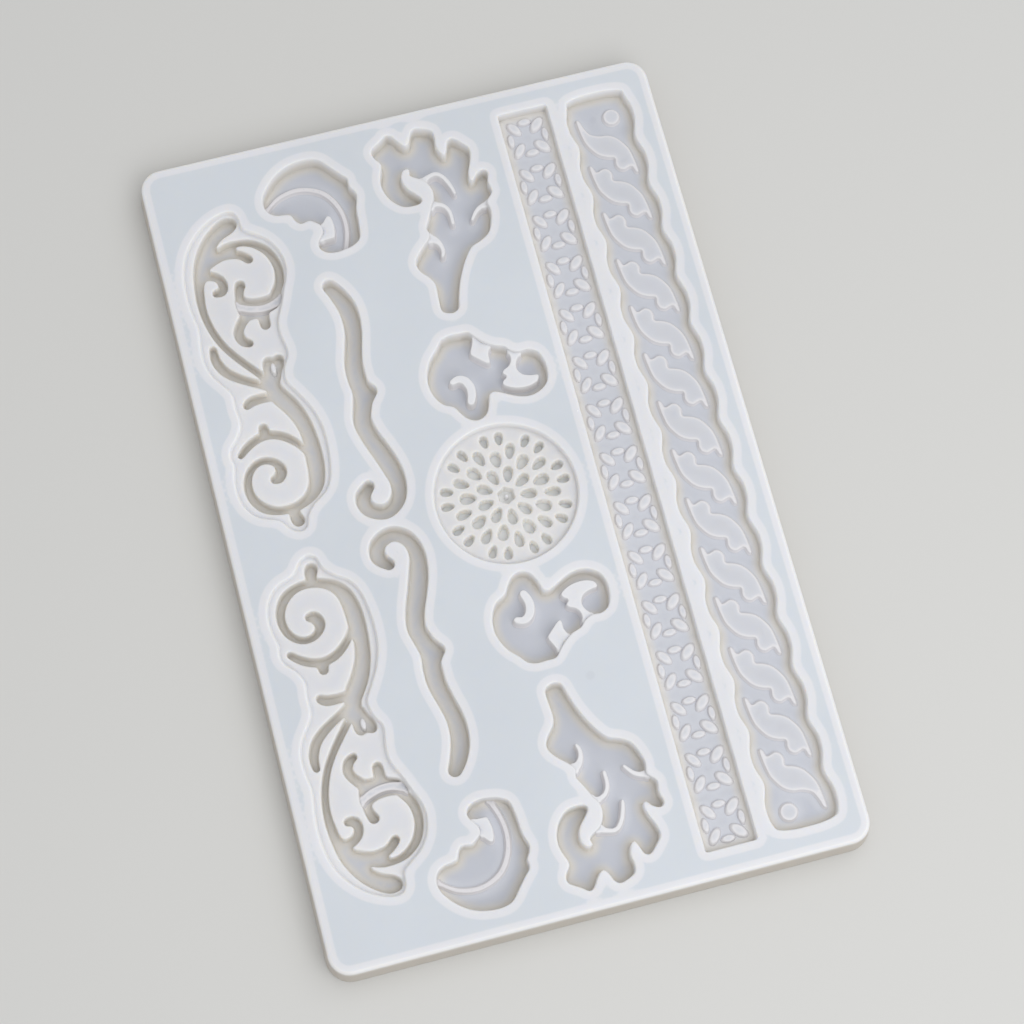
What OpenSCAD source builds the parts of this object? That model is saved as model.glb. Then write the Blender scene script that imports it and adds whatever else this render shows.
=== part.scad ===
// Silicone resin casting mould: a soft slab with ornament cavities open at the top.
// Millimetres. Origin at the middle of the underside, length along Y, cavities open to +Z.
// The artwork is drawn for a 140 x 220 field and stretches with the slab.

/* [Slab] */
// Width of the top face
slab_w = 140; // [110:1:180]
// Length of the top face
slab_l = 220; // [170:1:280]
// Thickness, underside to land
slab_t = 9; // [8:0.5:14]
// Corner radius of the top face
corner_r = 5.5; // [3:0.5:10]
// How much wider the underside is on every side
wall_flare = 1; // [0.2:0.1:2]

/* [Cavity depths] */
// Deep ornaments, land to floor
deep_cut = 5; // [4.2:0.1:6.5]
// Shallow recess around each scroll
scroll_step = 1.4; // [0.8:0.1:2.5]
// Shallow recess of the medallion
medallion_step = 2; // [1:0.1:3]
// Lattice strip, land to floor
lattice_cut = 3.4; // [2.5:0.1:4.2]
// Rope border, land to floor
rope_cut = 4; // [3:0.1:4.8]

/* [Raised details] */
// Height of the lattice ovals above the strip floor
oval_h = 1; // [0.5:0.1:2]
// Height of the rope strands above the border floor
strand_h = 1.2; // [0.5:0.1:2]
// Height of the tie band across a scroll
tie_h = 1.9; // [1:0.1:3]
// Height of the arc band in a crescent
arc_h = 1.3; // [0.6:0.1:2.5]
// Height of the veins in an acanthus leaf
vein_h = 3.4; // [2:0.1:4.5]
// Height of the steps in a crescent or a sprig
step_h = 3.9; // [2:0.1:4.5]
// Height of the small pegs
peg_h = 2.4; // [1:0.1:3.4]

/* [Lattice strip] */
// Width of the strip
lattice_w = 13.6; // [11:0.1:15]
// Repeat along the strip and the border
repeat = 13.72; // [12.22:0.02:16.5]
// Length of a large oval
oval_l = 4.7; // [3.5:0.1:5.2]

/* [Medallion] */
// Radius of the round recess
medallion_r = 18.9; // [17.5:0.1:21]
// Length of a petal pocket
petal_l = 4.5; // [3.2:0.1:4.8]

/* [Rope border] */
// Radius of the round end dot
dot_r = 2.35; // [1.5:0.05:3]

/* [Hidden] */
field_w = 140;
field_l = 220;
sx = slab_w / field_w;
sy = slab_l / field_l;
sm = min(sx, sy);
floor_z = slab_t - deep_cut;
step_z = slab_t - scroll_step;
med_z = slab_t - medallion_step;
lattice_z = slab_t - lattice_cut;
rope_z = slab_t - rope_cut;
over = 1;
flare_k = wall_flare / slab_t;
lattice_x = 34.5;
rope_x = 54.5;
strand_dx = 0.1;
med_x = 3.1;
run_l = 206;
units = max(2, floor((run_l + 1) / repeat));
lattice_y0 = 96;
rope_y0 = 88.3;
white = [0.86, 0.88, 0.9];
frost = [0.8, 0.84, 0.88];

// ---- curves -------------------------------------------------------------
// A point of a smooth curve through b and c.
function curve(a, b, c, d, t) =
  0.5 * (2 * b + (c - a) * t + (2 * a - 5 * b + 4 * c - d) * t * t
  + (3 * b - a - 3 * c + d) * t * t * t);

// Closed smooth loop through the given points.
function loop(p, n) = let (m = len(p)) [
  for (i = [0 : m - 1], k = [0 : n - 1])
    curve(p[(i + m - 1) % m], p[i], p[(i + 1) % m], p[(i + 2) % m], k / n)];

// Open smooth path through the given points.
function path(p, n) = let (m = len(p)) concat([
  for (i = [0 : m - 2], k = [0 : n - 1])
    curve(p[max(i - 1, 0)], p[i], p[i + 1], p[min(i + 2, m - 1)], k / n)], [p[m - 1]]);

// Direction of travel at point i, as an angle.
function heading(q, i) = let (a = q[max(i - 1, 0)], b = q[min(i + 1, len(q) - 1)])
  atan2(b[1] - a[1], b[0] - a[0]);

// A point beside point i: s is +1 for left, -1 for right.
function beside(q, i, s) = let (h = heading(q, i), r = q[i][2] / 2)
  [q[i][0] - s * r * sin(h), q[i][1] + s * r * cos(h)];

// Round cap at point i, turning clockwise from angle a0.
function cap(q, i, a0) = [for (a = [30 : 30 : 150])
  [q[i][0] + q[i][2] / 2 * cos(a0 - a), q[i][1] + q[i][2] / 2 * sin(a0 - a)]];

// Outline of a stroke: each point is x, y and the width there.
function stroke(p, n) = let (q = path(p, n), m = len(q) - 1) concat(
  [for (i = [0 : m]) beside(q, i, 1)], cap(q, m, heading(q, m) + 90),
  [for (i = [m : -1 : 0]) beside(q, i, -1)], cap(q, 0, heading(q, 0) - 90));

// Ellipse and pointed petal, both centred, long side along X.
function ellipse(a, b, n) = [for (i = [0 : n - 1]) [a * cos(i * 360 / n), b * sin(i * 360 / n)]];
function petal(l, w, n) = [for (i = [0 : n - 1]) let (t = i * 360 / n)
  [l / 2 * cos(t), w / 2 * sin(t) * (0.9 + 0.26 * cos(t))]];

// Artwork stretches with the slab.
module art() scale([sx, sy]) children();
module both() { children(); mirror([0, 1, 0]) children(); }
module cut(z, h) translate([0, 0, z]) linear_extrude(height = h) children();

// ---- scroll -------------------------------------------------------------
module scroll_recess_2d() polygon(loop([
  [-49.6, 94], [-53.5, 93], [-57.6, 90.6], [-61, 87.1], [-63.2, 83.4], [-64.5, 79],
  [-65, 73.5], [-64.7, 68.3], [-64, 63.5], [-64.6, 58.5], [-64.7, 54], [-63.5, 50],
  [-61.2, 46.6], [-59.6, 43.6], [-59.6, 39.5], [-59.3, 35.4], [-61, 32], [-63.2, 29.6],
  [-63.9, 27], [-63.5, 24.6], [-64.3, 20.8], [-64.4, 16.7], [-63.2, 12.6], [-60.4, 9.5],
  [-56.4, 7.9], [-54.7, 6.6], [-53.2, 4.5], [-50.9, 3.3], [-48.8, 4.2], [-47.7, 7.3],
  [-45.4, 9.8], [-42, 12.2], [-40, 15.4], [-38.9, 20.4], [-38.5, 25.5], [-38.9, 31],
  [-40.6, 36.2], [-43, 40.6], [-45, 44.2], [-44.4, 48], [-42.6, 51.4], [-43.3, 57],
  [-43.1, 60.6], [-41.2, 65], [-39.6, 69], [-38, 72.8], [-37.6, 76.4], [-38.6, 80.6],
  [-41, 84.2], [-44.4, 86.8], [-46.4, 88.5], [-46.8, 91.4], [-47.6, 93.2]], 4));

module scroll_blade_2d() polygon(loop([
  [-62.7, 71], [-62.4, 76.6], [-61.3, 81.7], [-59.1, 86.1], [-56.2, 89.6], [-52.8, 92.1],
  [-50.3, 92.9], [-48, 92.2], [-47.5, 90.3], [-49, 88.6], [-51.6, 87.5], [-53.5, 86.3],
  [-54.4, 85], [-52.4, 85.7], [-49.6, 85.9], [-49.5, 83], [-50.2, 81.2], [-52.6, 81.4],
  [-55, 80.8], [-57.2, 79.8], [-58.3, 78.6], [-59, 77], [-60, 75.2], [-60.8, 71]], 4));

module scroll_cup_2d() polygon(loop([
  [-53, 69.3], [-52.9, 66.9], [-52.4, 65], [-51.2, 63.5], [-48.8, 63.3], [-46.5, 63.5],
  [-44.3, 64.3], [-42.4, 65], [-41.2, 66.3], [-40.4, 68.6], [-41.6, 69.6], [-44, 69],
  [-46.6, 68.8], [-49, 69.2], [-50.4, 69.9], [-51.9, 70.4]], 3));

module scroll_knot_2d() polygon(loop([
  [-49.9, 45.6], [-50.1, 48.8], [-49.7, 51.3], [-48.3, 52.2], [-46.9, 51.7], [-45.6, 52.3],
  [-44.2, 51.4], [-44.4, 49.2], [-45.7, 47], [-46.7, 44.8]], 3));

// Every groove stroke of one scroll, in drawing order.
module scroll_strokes_2d() {
  // main blade's long tail
  polygon(stroke([[-61.7, 72.4, 2.3], [-61.7, 68.4, 2], [-61.1, 64.6, 1.9], [-60.1, 61.2, 1.9],
    [-58.6, 57.8, 1.9], [-56.4, 54.4, 1.9], [-53.9, 51.2, 2], [-51.4, 48.2, 2],
    [-49.2, 45.4, 2.6]], 3));
  // small curl beside the blade
  polygon(stroke([[-60, 78.2, 2.8], [-57.6, 77.9, 2.6], [-55.6, 76.6, 2.4], [-54.9, 74.6, 2.5],
    [-55.6, 72.9, 2.6], [-57.2, 72.7, 2.2]], 3));
  // ring around the volute
  polygon(stroke([[-52, 84.6, 2.4], [-48.6, 85.1, 1.8], [-45, 84.2, 2], [-41.8, 81.6, 2.3],
    [-40.1, 78.2, 2.3], [-39.7, 74.9, 2.4], [-40.4, 71.6, 2.5], [-42.2, 69, 2.4]], 4));
  // leaf tail inside the volute
  polygon(stroke([[-50.6, 82.6, 2.6], [-48.4, 81.6, 2.4], [-46.7, 80, 2.4]], 3));
  // inner knob of the volute
  polygon(stroke([[-51.5, 68.8, 2.4], [-51.4, 71.4, 2.3], [-50.6, 73.4, 2.9]], 3));
  // hook leaf and short leaf under the cup
  polygon(stroke([[-50.6, 65, 3], [-52.7, 62.9, 2.6], [-54.1, 60.4, 2.6], [-53.4, 58, 2.6],
    [-51.9, 57, 2.2]], 3));
  polygon(stroke([[-46.6, 65.4, 3.2], [-46.6, 61, 2.8]], 2));
  // second thin blade
  polygon(stroke([[-61.6, 57.6, 2], [-61.6, 54.6, 2.5], [-60.2, 51.3, 2.6], [-57.8, 48.9, 2.5],
    [-54.6, 46.8, 2.3], [-51.6, 45.2, 2.4], [-49, 43.8, 3.2]], 3));
  // third small blade
  polygon(stroke([[-48.4, 41.2, 2.6], [-52.2, 41.4, 2.6], [-55, 41.2, 2.8], [-56.4, 40.4, 2.4]], 3));
  // trunk and spiral
  polygon(stroke([[-48.2, 46.4, 3.2], [-48.5, 43.4, 4], [-47.6, 40.8, 4.8], [-45.4, 37.4, 4.7],
    [-43.6, 33.2, 4.2], [-42.7, 28.6, 4], [-42.7, 23.6, 4.6], [-43, 19, 4.5],
    [-44.1, 14.9, 3.9], [-46.8, 12, 3], [-50.6, 10.5, 2.4], [-55, 10.5, 2.2],
    [-58.6, 12.2, 2.6], [-60.8, 15.3, 2.4], [-61.3, 18.7, 2.2], [-60.3, 22, 2],
    [-58.1, 24.1, 1.9], [-55.4, 24.6, 1.9], [-52.9, 23.4, 2.1], [-51.9, 21.2, 2.9],
    [-52.9, 19.3, 3.1], [-54.1, 19, 2.4]], 4));
  // thin arc over the spiral, its nub, and the stub under it
  polygon(stroke([[-43.2, 22.4, 1.8], [-45.6, 26.5, 1.9], [-49.1, 29.8, 2.3], [-52.6, 31.1, 2.3],
    [-56, 30.8, 2.3], [-59, 29.3, 2.2], [-61.2, 27.4, 1.8]], 4));
  polygon(stroke([[-53.8, 31.8, 3], [-53.8, 33.3, 2.6]], 2));
  polygon(stroke([[-51.3, 9.4, 2.6], [-51.1, 7.9, 3.2], [-50.7, 6.8, 3.5]], 2));
}

module scroll_grooves_2d() {
  scroll_blade_2d();
  scroll_cup_2d();
  scroll_knot_2d();
  scroll_strokes_2d();
}

module scroll_tie_2d() intersection() {
  scroll_cup_2d();
  polygon(stroke([[-54.4, 70.6, 2], [-52.8, 68.5, 2], [-49.8, 66.9, 2.2], [-46.2, 66.2, 2.2],
    [-42.9, 66.7, 2.4], [-39.4, 68.5, 2.6]], 3));
}

module scroll_peg_2d() translate([-47.4, 49.1]) polygon(ellipse(0.7, 1.5, 14));

// ---- stem ---------------------------------------------------------------
module stem_2d() {
  polygon(stroke([[-27.9, 66.9, 3.7], [-26.3, 64.2, 4.5], [-24.9, 60.6, 4.9], [-24.4, 57, 4.8],
    [-24.7, 53, 4.6], [-25.8, 48.6, 4.6], [-26.8, 44.2, 4.9], [-26.9, 40, 5],
    [-26.7, 36.2, 4.6], [-27.5, 32.2, 4.8], [-28.3, 28.4, 4.9], [-27.4, 24, 5],
    [-25.6, 19.2, 5.2], [-24, 14.2, 5.1], [-23.3, 9.4, 4.2], [-24.8, 5.2, 4],
    [-28.4, 3.1, 4.1], [-32.4, 4.8, 4.1], [-33.2, 8.3, 4], [-31, 10.8, 3.2]], 4));
  polygon(loop([[-25.8, 41.6], [-24.2, 38.6], [-22.6, 36.4], [-22.8, 34.9], [-24.6, 32.6],
    [-26, 30], [-28, 36]], 3));
}

// ---- crescent leaf ------------------------------------------------------
module crescent_2d() polygon(loop([
  [-39.4, 93.1], [-38.9, 95.8], [-36.7, 98.8], [-34.2, 101], [-31.4, 102.5], [-28.6, 103.2],
  [-26, 103.4], [-23.6, 103.1], [-21.7, 102.1], [-19.4, 99.4], [-17.4, 97.1], [-15.9, 95.4],
  [-16, 93.2], [-15, 91.6], [-14.6, 90], [-15.1, 88.3], [-15.6, 86.4], [-15.8, 83.4],
  [-16.2, 80], [-16.9, 77.8], [-18.9, 76.5], [-21, 76], [-23.6, 75.7], [-26, 76.2],
  [-27.6, 77.6], [-27.7, 79.4], [-26.6, 80.9], [-25.7, 82.4], [-25.9, 84.2], [-27, 85.2],
  [-28.6, 86.2], [-30.8, 85.8], [-32.2, 87], [-32.9, 88.8], [-34.2, 89.3], [-36.8, 89.7],
  [-38.6, 91]], 4));

module crescent_arc_2d() intersection() {
  crescent_2d();
  polygon(stroke([[-39.8, 92, 1.2], [-37.6, 94.1, 1.2], [-34.6, 96, 1.4],
    [-30.4, 96.9, 1.5], [-26.6, 96.3, 1.5], [-23, 94.3, 1.6], [-20.6, 91, 1.6],
    [-19.4, 87.3, 1.5], [-19.2, 83.6, 1.5], [-20, 79.6, 1.5], [-21.8, 74.8, 1.7]], 4));
}

module crescent_step_2d() intersection() {
  crescent_2d();
  polygon([[-28, 80], [-26.4, 84], [-25.2, 85.2], [-24.4, 86.2], [-23.6, 86.9], [-22.8, 86.5],
    [-22.4, 85.2], [-22.3, 83.2], [-22.6, 81.4], [-23, 80.1], [-25.4, 80]]);
}

// ---- acanthus leaf ------------------------------------------------------
module acanthus_2d() polygon(loop([
  [-0.7, 53], [-0.6, 56.5], [-0.4, 60.3], [-1.4, 62.5], [-3.2, 64.6], [-4, 66.6],
  [-3.5, 68.6], [-1.6, 70.8], [0.6, 72.8], [1.7, 74.6], [1.1, 76.2], [2.2, 78.4],
  [3.3, 80.6], [4.2, 82.6], [5.2, 84.2], [5.4, 86.4], [4.7, 88.6], [3.7, 90],
  [2.4, 90.8], [0.4, 92.2], [0.9, 93.7], [-0.5, 94.2], [-1.7, 92.8], [-1.9, 90.8],
  [-1, 88.6], [0.6, 86.8], [2, 85], [1.6, 83.8], [-0.6, 83.4], [-3.6, 84], [-6.2, 86.6],
  [-7.4, 89.6], [-7.5, 92.6], [-6.4, 95.8], [-6.2, 97.4], [-7.6, 99.4], [-7.8, 101.4],
  [-6.4, 102.6], [-4.7, 103.6], [-3, 104.9], [-1.6, 104.3], [0, 102], [1.4, 100.6],
  [2.6, 101.4], [3.6, 103.8], [4.9, 104.9], [6.8, 104.5], [9.2, 103.3], [9.7, 101.2],
  [9.3, 98.8], [10, 96.6], [11.1, 95.5], [11.9, 97], [12.8, 99.3], [14.4, 99.7],
  [16.4, 97.8], [18, 95.6], [17.4, 92.6], [16.2, 89.8], [15.8, 87.2], [16.6, 86.6],
  [18, 88.2], [20, 89], [21.1, 87.8], [20.4, 85.2], [20.8, 82.4], [19.2, 80.6],
  [18.6, 79.6], [19.1, 77], [18.3, 73.8], [16.8, 71], [14.2, 69.4], [11.6, 68.4],
  [9.4, 65.8], [7.4, 62.4], [5.8, 58.8], [4.6, 55], [3.9, 52.4], [2.2, 51.5], [0.4, 51.9]], 3));

module acanthus_veins_2d() intersection() {
  acanthus_2d();
  union() {
    polygon(stroke([[0.6, 74.2, 3], [2.6, 73.2, 2.2], [3.8, 71.4, 1.5], [4, 69.4, 1.3],
      [3.5, 68.2, 1.1]], 3));
    polygon(stroke([[3.4, 82.4, 2.4], [5.2, 83, 1.6], [7.4, 82, 1.4], [8.5, 79.8, 1.3],
      [8.5, 76.6, 1.2]], 3));
    polygon(stroke([[3, 89.8, 2.6], [5.2, 91.1, 1.5], [7.6, 91.5, 1.4], [9.4, 89.8, 1.4],
      [10.6, 87, 1.3], [11.1, 84.9, 1.1]], 3));
    polygon(stroke([[20.4, 80, 2.2], [17.6, 79.6, 1.6], [15.6, 78.6, 1.4], [13.8, 76.4, 1.1]], 3));
  }
}

// ---- sprig --------------------------------------------------------------
module sprig_2d() polygon(loop([
  [-9.2, 34], [-8.7, 37], [-7, 40.3], [-4.6, 42.8], [-3, 44.7], [-0.8, 45.5], [2, 45.4],
  [4.3, 45.3], [5.7, 43.8], [7.6, 41.8], [10.2, 40], [12.6, 39.2], [14, 37.7],
  [16.2, 36.7], [18.8, 36.8], [21, 35.4], [22, 32.6], [22.1, 29.6], [21.2, 26.9],
  [18.9, 25], [16, 24.3], [13.1, 24.8], [10, 26.3], [7.4, 27.6], [5.7, 27.2], [5, 24.9],
  [3.6, 22.2], [1.2, 21.1], [-1.2, 21.9], [-2.9, 24], [-4.2, 26.1], [-6.8, 27.5],
  [-8.6, 30.4]], 4));

module sprig_comma_2d() polygon(stroke([[-2.8, 33.1, 1.9], [-1.1, 33.6, 2.2],
  [0.5, 32.7, 2.5], [1.4, 30.7, 2.6], [1.3, 28.6, 2.5], [0.6, 26.8, 2.3]], 4));

module sprig_steps_2d() intersection() {
  sprig_2d();
  union() {
    polygon([[5.6, 44.6], [4.6, 42], [3.7, 40.2], [3.6, 39.2], [5.9, 37], [7.3, 35.8],
      [8.2, 35.7], [8.4, 37], [8.3, 38], [9, 39.8], [10.2, 41]]);
    polygon(loop([[13.5, 38.6], [13.6, 35.8], [12.6, 34], [11, 33.2], [10.4, 32.2],
      [11.4, 31.2], [10.2, 30.4], [9.8, 29.2], [11.8, 27.8], [14.4, 27.1], [17.2, 27.2],
      [19.3, 28.2], [19.6, 29.8], [17.6, 30.1], [15.5, 31], [14.6, 32.8], [15.2, 34.8],
      [16.8, 36.6], [16.6, 38.4]], 3));
  }
}

// ---- medallion ----------------------------------------------------------
module medallion_petals_2d() {
  for (k = [0 : 8]) {
    rotate(91 + 40 * k + 20) translate([5.8 * sm, 0]) polygon(petal(petal_l, 2.9, 16));
    rotate(91 + 40 * k) translate([10 * sm, 0]) polygon(petal(petal_l, 3.3, 16));
    rotate(91 + 40 * k + 20) translate([12.1 * sm, 0]) polygon(petal(petal_l, 2.8, 16));
    for (s = [-1, 1])
      rotate(90 + 40 * k + 7.3 * s) translate([15.5 * sm, 0]) polygon(petal(3.7, 2.5, 14));
  }
}

module medallion_star_2d() polygon([for (i = [0 : 11])
  (i % 2 == 0 ? 2.5 : 1.95) * [cos(90 + 30 * i), sin(90 + 30 * i)]]);

// ---- lattice strip ------------------------------------------------------
module oval(x, y, a, b, t) translate([x, y]) rotate(t) polygon(ellipse(a, b, 16));

module lattice_unit_2d() {
  oval(0, 4.55, 1.75, 0.9, 0);
  oval(0, -4.55, 1.75, 0.9, 0);
  oval(-4.75, 0, 0.85, 1.8, 0);
  oval(4.75, 0, 0.85, 1.8, 0);
  oval(-3.15, 3.2, oval_l * 0.47, 1.15, -52);
  oval(-3.15, -3.2, oval_l * 0.47, 1.15, 52);
  oval(3.15, 3.2, oval_l / 2, 1.3, 45);
  oval(3.15, -3.2, oval_l / 2, 1.3, -45);
}

// ---- rope border --------------------------------------------------------
// Scalloped side: one bulge per repeat, pinched between the bulges.
function side_x(y) = let (u = (y - rope_y0) / repeat)
  9.15 - 1.35 * pow(abs(cos(180 * u)), 3);

// Rounded, slightly bowed end of the border's channel.
rope_corner = [[9.4, 97], [9.4, 99], [8.9, 100.9], [7.8, 102], [6, 102.6], [3, 103]];

module rope_2d() intersection() {
  polygon(concat([for (y = [103.75 : -1.25 : -103.75]) [side_x(y), y]],
    [for (y = [-103.75 : 1.25 : 103.75]) [-side_x(y), y]]));
  polygon(concat(rope_corner, [for (i = [5 : -1 : 0]) [-rope_corner[i][0], rope_corner[i][1]]],
    [for (i = [0 : 5]) -rope_corner[i]],
    [for (i = [5 : -1 : 0]) [rope_corner[i][0], -rope_corner[i][1]]]));
}

// Half of a strand outline, from the upper horn to the lower one.
function strand_half(lobe) = concat(
  [[-6.5, 8.8], [-5.9, 9.4], [-5.3, 8.7], [-4.9, 7.2]],
  lobe ? [[-3.9, 7.4], [-2.6, 7.8], [-1.2, 7], [-0.7, 5.4], [-1, 3.8]]
  : [[-3.9, 4.9], [-2.4, 3.9], [-0.9, 3.4]],
  [[0.9, 3.2], [3, 2], [4.7, -0.2], [5.9, -3]]);

// One strand: the second half is the first turned half round.
module strand_2d(up, down) polygon(loop(concat(strand_half(up), [for (p = strand_half(down)) -p]), 3));

// ---- sheets -------------------------------------------------------------
// The slab between two heights, with its sloping outer wall.
module slab_layer(z0, z1) {
  g0 = flare_k * (slab_t - z0);
  g1 = flare_k * (slab_t - z1);
  cx = slab_w / 2 - corner_r;
  cy = slab_l / 2 - corner_r;
  for (i = [-1, 1], j = [-1, 1])
    translate([i * cx, j * cy, z0])
      cylinder(h = z1 - z0, r1 = corner_r + g0, r2 = corner_r + g1, $fn = 48);
  translate([0, cy, 0]) rotate([90, 0, 0]) linear_extrude(height = 2 * cy)
    polygon([[-slab_w / 2 - g0, z0], [slab_w / 2 + g0, z0], [slab_w / 2 + g1, z1],
      [-slab_w / 2 - g1, z1]]);
  translate([-cx, 0, 0]) rotate([90, 0, 90]) linear_extrude(height = 2 * cx)
    polygon([[-slab_l / 2 - g0, z0], [slab_l / 2 + g0, z0], [slab_l / 2 + g1, z1],
      [-slab_l / 2 - g1, z1]]);
}

module base_sheet() color(frost) slab_layer(0, floor_z);

// One way through to the base sheet, open at the top.
module deep() cut(floor_z - over, deep_cut + 2 * over) children();

module land_sheet() color(white) difference() {
  slab_layer(floor_z, slab_t);
  both() art_cut(step_z, scroll_step + over) scroll_recess_2d();
  both() deep() art() scroll_grooves_2d();
  both() deep() art() stem_2d();
  both() deep() art() crescent_2d();
  both() deep() art() acanthus_2d();
  both() deep() art() sprig_2d();
  translate([med_x * sx, 0, med_z]) cylinder(h = medallion_step + over, r = medallion_r * sm, $fn = 96);
  translate([med_x * sx, 0, 0]) deep() medallion_petals_2d();
  translate([med_x * sx, 0, 0]) deep() medallion_star_2d();
  translate([lattice_x * sx, 0, lattice_z]) translate([-lattice_w / 2, -run_l * sy / 2, 0])
    cube([lattice_w, run_l * sy, lattice_cut + over]);
  translate([rope_x * sx, 0, rope_z]) linear_extrude(height = rope_cut + over) scale([1, sy]) rope_2d();
}

module art_cut(z, h) translate([0, 0, z]) linear_extrude(height = h) art() children();

// ---- raised details -----------------------------------------------------
module raised(h) translate([0, 0, floor_z]) linear_extrude(height = h) art() children();
module lower() mirror([0, 1, 0]) children();

module scroll_tie_upper() color(white) raised(tie_h) scroll_tie_2d();
module scroll_tie_lower() color(white) lower() raised(tie_h) scroll_tie_2d();
module scroll_peg_upper() color(white) raised(peg_h) scroll_peg_2d();
module scroll_peg_lower() color(white) lower() raised(peg_h) scroll_peg_2d();
module crescent_arc_upper() color(white) raised(arc_h) crescent_arc_2d();
module crescent_arc_lower() color(white) lower() raised(arc_h) crescent_arc_2d();
module crescent_step_upper() color(white) raised(step_h) crescent_step_2d();
module crescent_step_lower() color(white) lower() raised(step_h) crescent_step_2d();
module acanthus_veins_upper() color(white) raised(vein_h) acanthus_veins_2d();
module acanthus_veins_lower() color(white) lower() raised(vein_h) acanthus_veins_2d();
module sprig_comma_upper() color(white) raised(step_h) sprig_comma_2d();
module sprig_comma_lower() color(white) lower() raised(step_h) sprig_comma_2d();
module sprig_steps_upper() color(white) raised(step_h) sprig_steps_2d();
module sprig_steps_lower() color(white) lower() raised(step_h) sprig_steps_2d();

module medallion_peg() color(white) translate([med_x * sx, 0, floor_z]) cylinder(h = peg_h, r = 0.5, $fn = 24);

module lattice_ovals() color(white) for (k = [0 : units - 1])
  translate([lattice_x * sx, (lattice_y0 - repeat * k) * sy, lattice_z])
    linear_extrude(height = oval_h) lattice_unit_2d();

module rope_strands() color(white) for (k = [0 : units - 2])
  translate([(rope_x + strand_dx) * sx, (rope_y0 - repeat * k) * sy, rope_z])
    linear_extrude(height = strand_h) strand_2d(k > 0, k < units - 2);

module rope_dots() color(white) {
  translate([(rope_x + 3.4) * sx, 96.3 * sy, rope_z]) cylinder(h = strand_h, r = dot_r, $fn = 40);
  translate([(rope_x - 3.3) * sx, -98 * sy, rope_z]) cylinder(h = strand_h, r = dot_r, $fn = 40);
}

base_sheet();
land_sheet();
scroll_tie_upper();
scroll_tie_lower();
scroll_peg_upper();
scroll_peg_lower();
crescent_arc_upper();
crescent_arc_lower();
crescent_step_upper();
crescent_step_lower();
acanthus_veins_upper();
acanthus_veins_lower();
sprig_comma_upper();
sprig_comma_lower();
sprig_steps_upper();
sprig_steps_lower();
medallion_peg();
lattice_ovals();
rope_strands();
rope_dots();
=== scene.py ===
# %% [markdown]
# # A soft silicone mould for casting resin ornaments
# The real thing is one slab of milky silicone, a little larger than a hand, with
# thirteen ornament-shaped hollows in its top. Everything about its look comes from
# soft edges: a moulded rubber has no sharp corner anywhere, and the light and shade
# in its hollows are here largely painted into its colour, by depth and by distance
# to the outlines. So this lesson takes the outlines from the imported CAD model,
# eases them, and lets the height of the surface follow the distance to them.

# %% Load the imported model
import math

import bpy
import numpy as np
from mathutils import Matrix, Vector
from mathutils.geometry import delaunay_2d_cdt


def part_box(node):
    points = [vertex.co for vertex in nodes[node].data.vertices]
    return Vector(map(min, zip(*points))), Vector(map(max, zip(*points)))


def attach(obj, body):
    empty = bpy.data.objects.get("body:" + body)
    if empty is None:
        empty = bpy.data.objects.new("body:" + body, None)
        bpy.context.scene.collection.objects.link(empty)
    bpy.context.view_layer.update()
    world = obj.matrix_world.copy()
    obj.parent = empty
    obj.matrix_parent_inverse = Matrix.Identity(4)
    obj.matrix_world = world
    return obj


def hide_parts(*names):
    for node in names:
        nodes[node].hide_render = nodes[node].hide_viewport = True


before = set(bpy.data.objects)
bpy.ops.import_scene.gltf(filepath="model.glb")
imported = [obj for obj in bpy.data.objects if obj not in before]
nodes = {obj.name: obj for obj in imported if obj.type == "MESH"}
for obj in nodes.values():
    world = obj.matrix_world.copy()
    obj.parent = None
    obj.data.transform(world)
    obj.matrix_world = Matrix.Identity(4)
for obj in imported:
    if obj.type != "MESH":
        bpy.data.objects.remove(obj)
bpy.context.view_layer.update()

MM = 0.001  # the frame is in metres, and the shapes are worked out in millimetres

# %% [markdown]
# ## The camera
# The mould lies flat and is seen from high above, a little from its lower left end.
# A long lens keeps the slab nearly free of perspective. The camera is placed first,
# so that every later cell can be judged in the same view.

# %% Camera
CAMERA_AT = Vector((-57.4, -180.5, 675.0)) * MM
CAMERA_AIM = Vector((3.2, -5.3, 9.0)) * MM
CAMERA_ROLL = math.radians(-15.28)
CAMERA_LENS = 93.9


def look(at, aim, roll):
    """The camera's matrix: it looks from at to aim, and its top starts in line with the
    world's Y and is then turned by roll about the line of sight."""
    back = (at - aim).normalized()
    top = (Vector((0, 1, 0)) - back * back.y).normalized()
    top.rotate(Matrix.Rotation(roll, 4, back))
    right = top.cross(back)
    turn = Matrix((right, top, back)).transposed().to_4x4()
    return Matrix.Translation(at) @ turn


lens = bpy.data.cameras.new("view")
lens.lens = CAMERA_LENS
lens.sensor_width = 36.0
lens.clip_end = 10.0
camera = bpy.data.objects.new("view", lens)
camera.matrix_world = look(CAMERA_AT, CAMERA_AIM, CAMERA_ROLL)
bpy.context.scene.collection.objects.link(camera)
bpy.context.scene.camera = camera
print("camera is", round((CAMERA_AT - CAMERA_AIM).length, 3), "m from the slab")

# %% [markdown]
# ## Reading the outlines
# The CAD nodes already hold every outline, so nothing is drawn twice. A node's mesh is
# loose triangles. Once their corners are merged, a side that only one flat triangle
# uses must lie on an outline, and following each side to the next strings the sides
# into closed loops.


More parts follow.
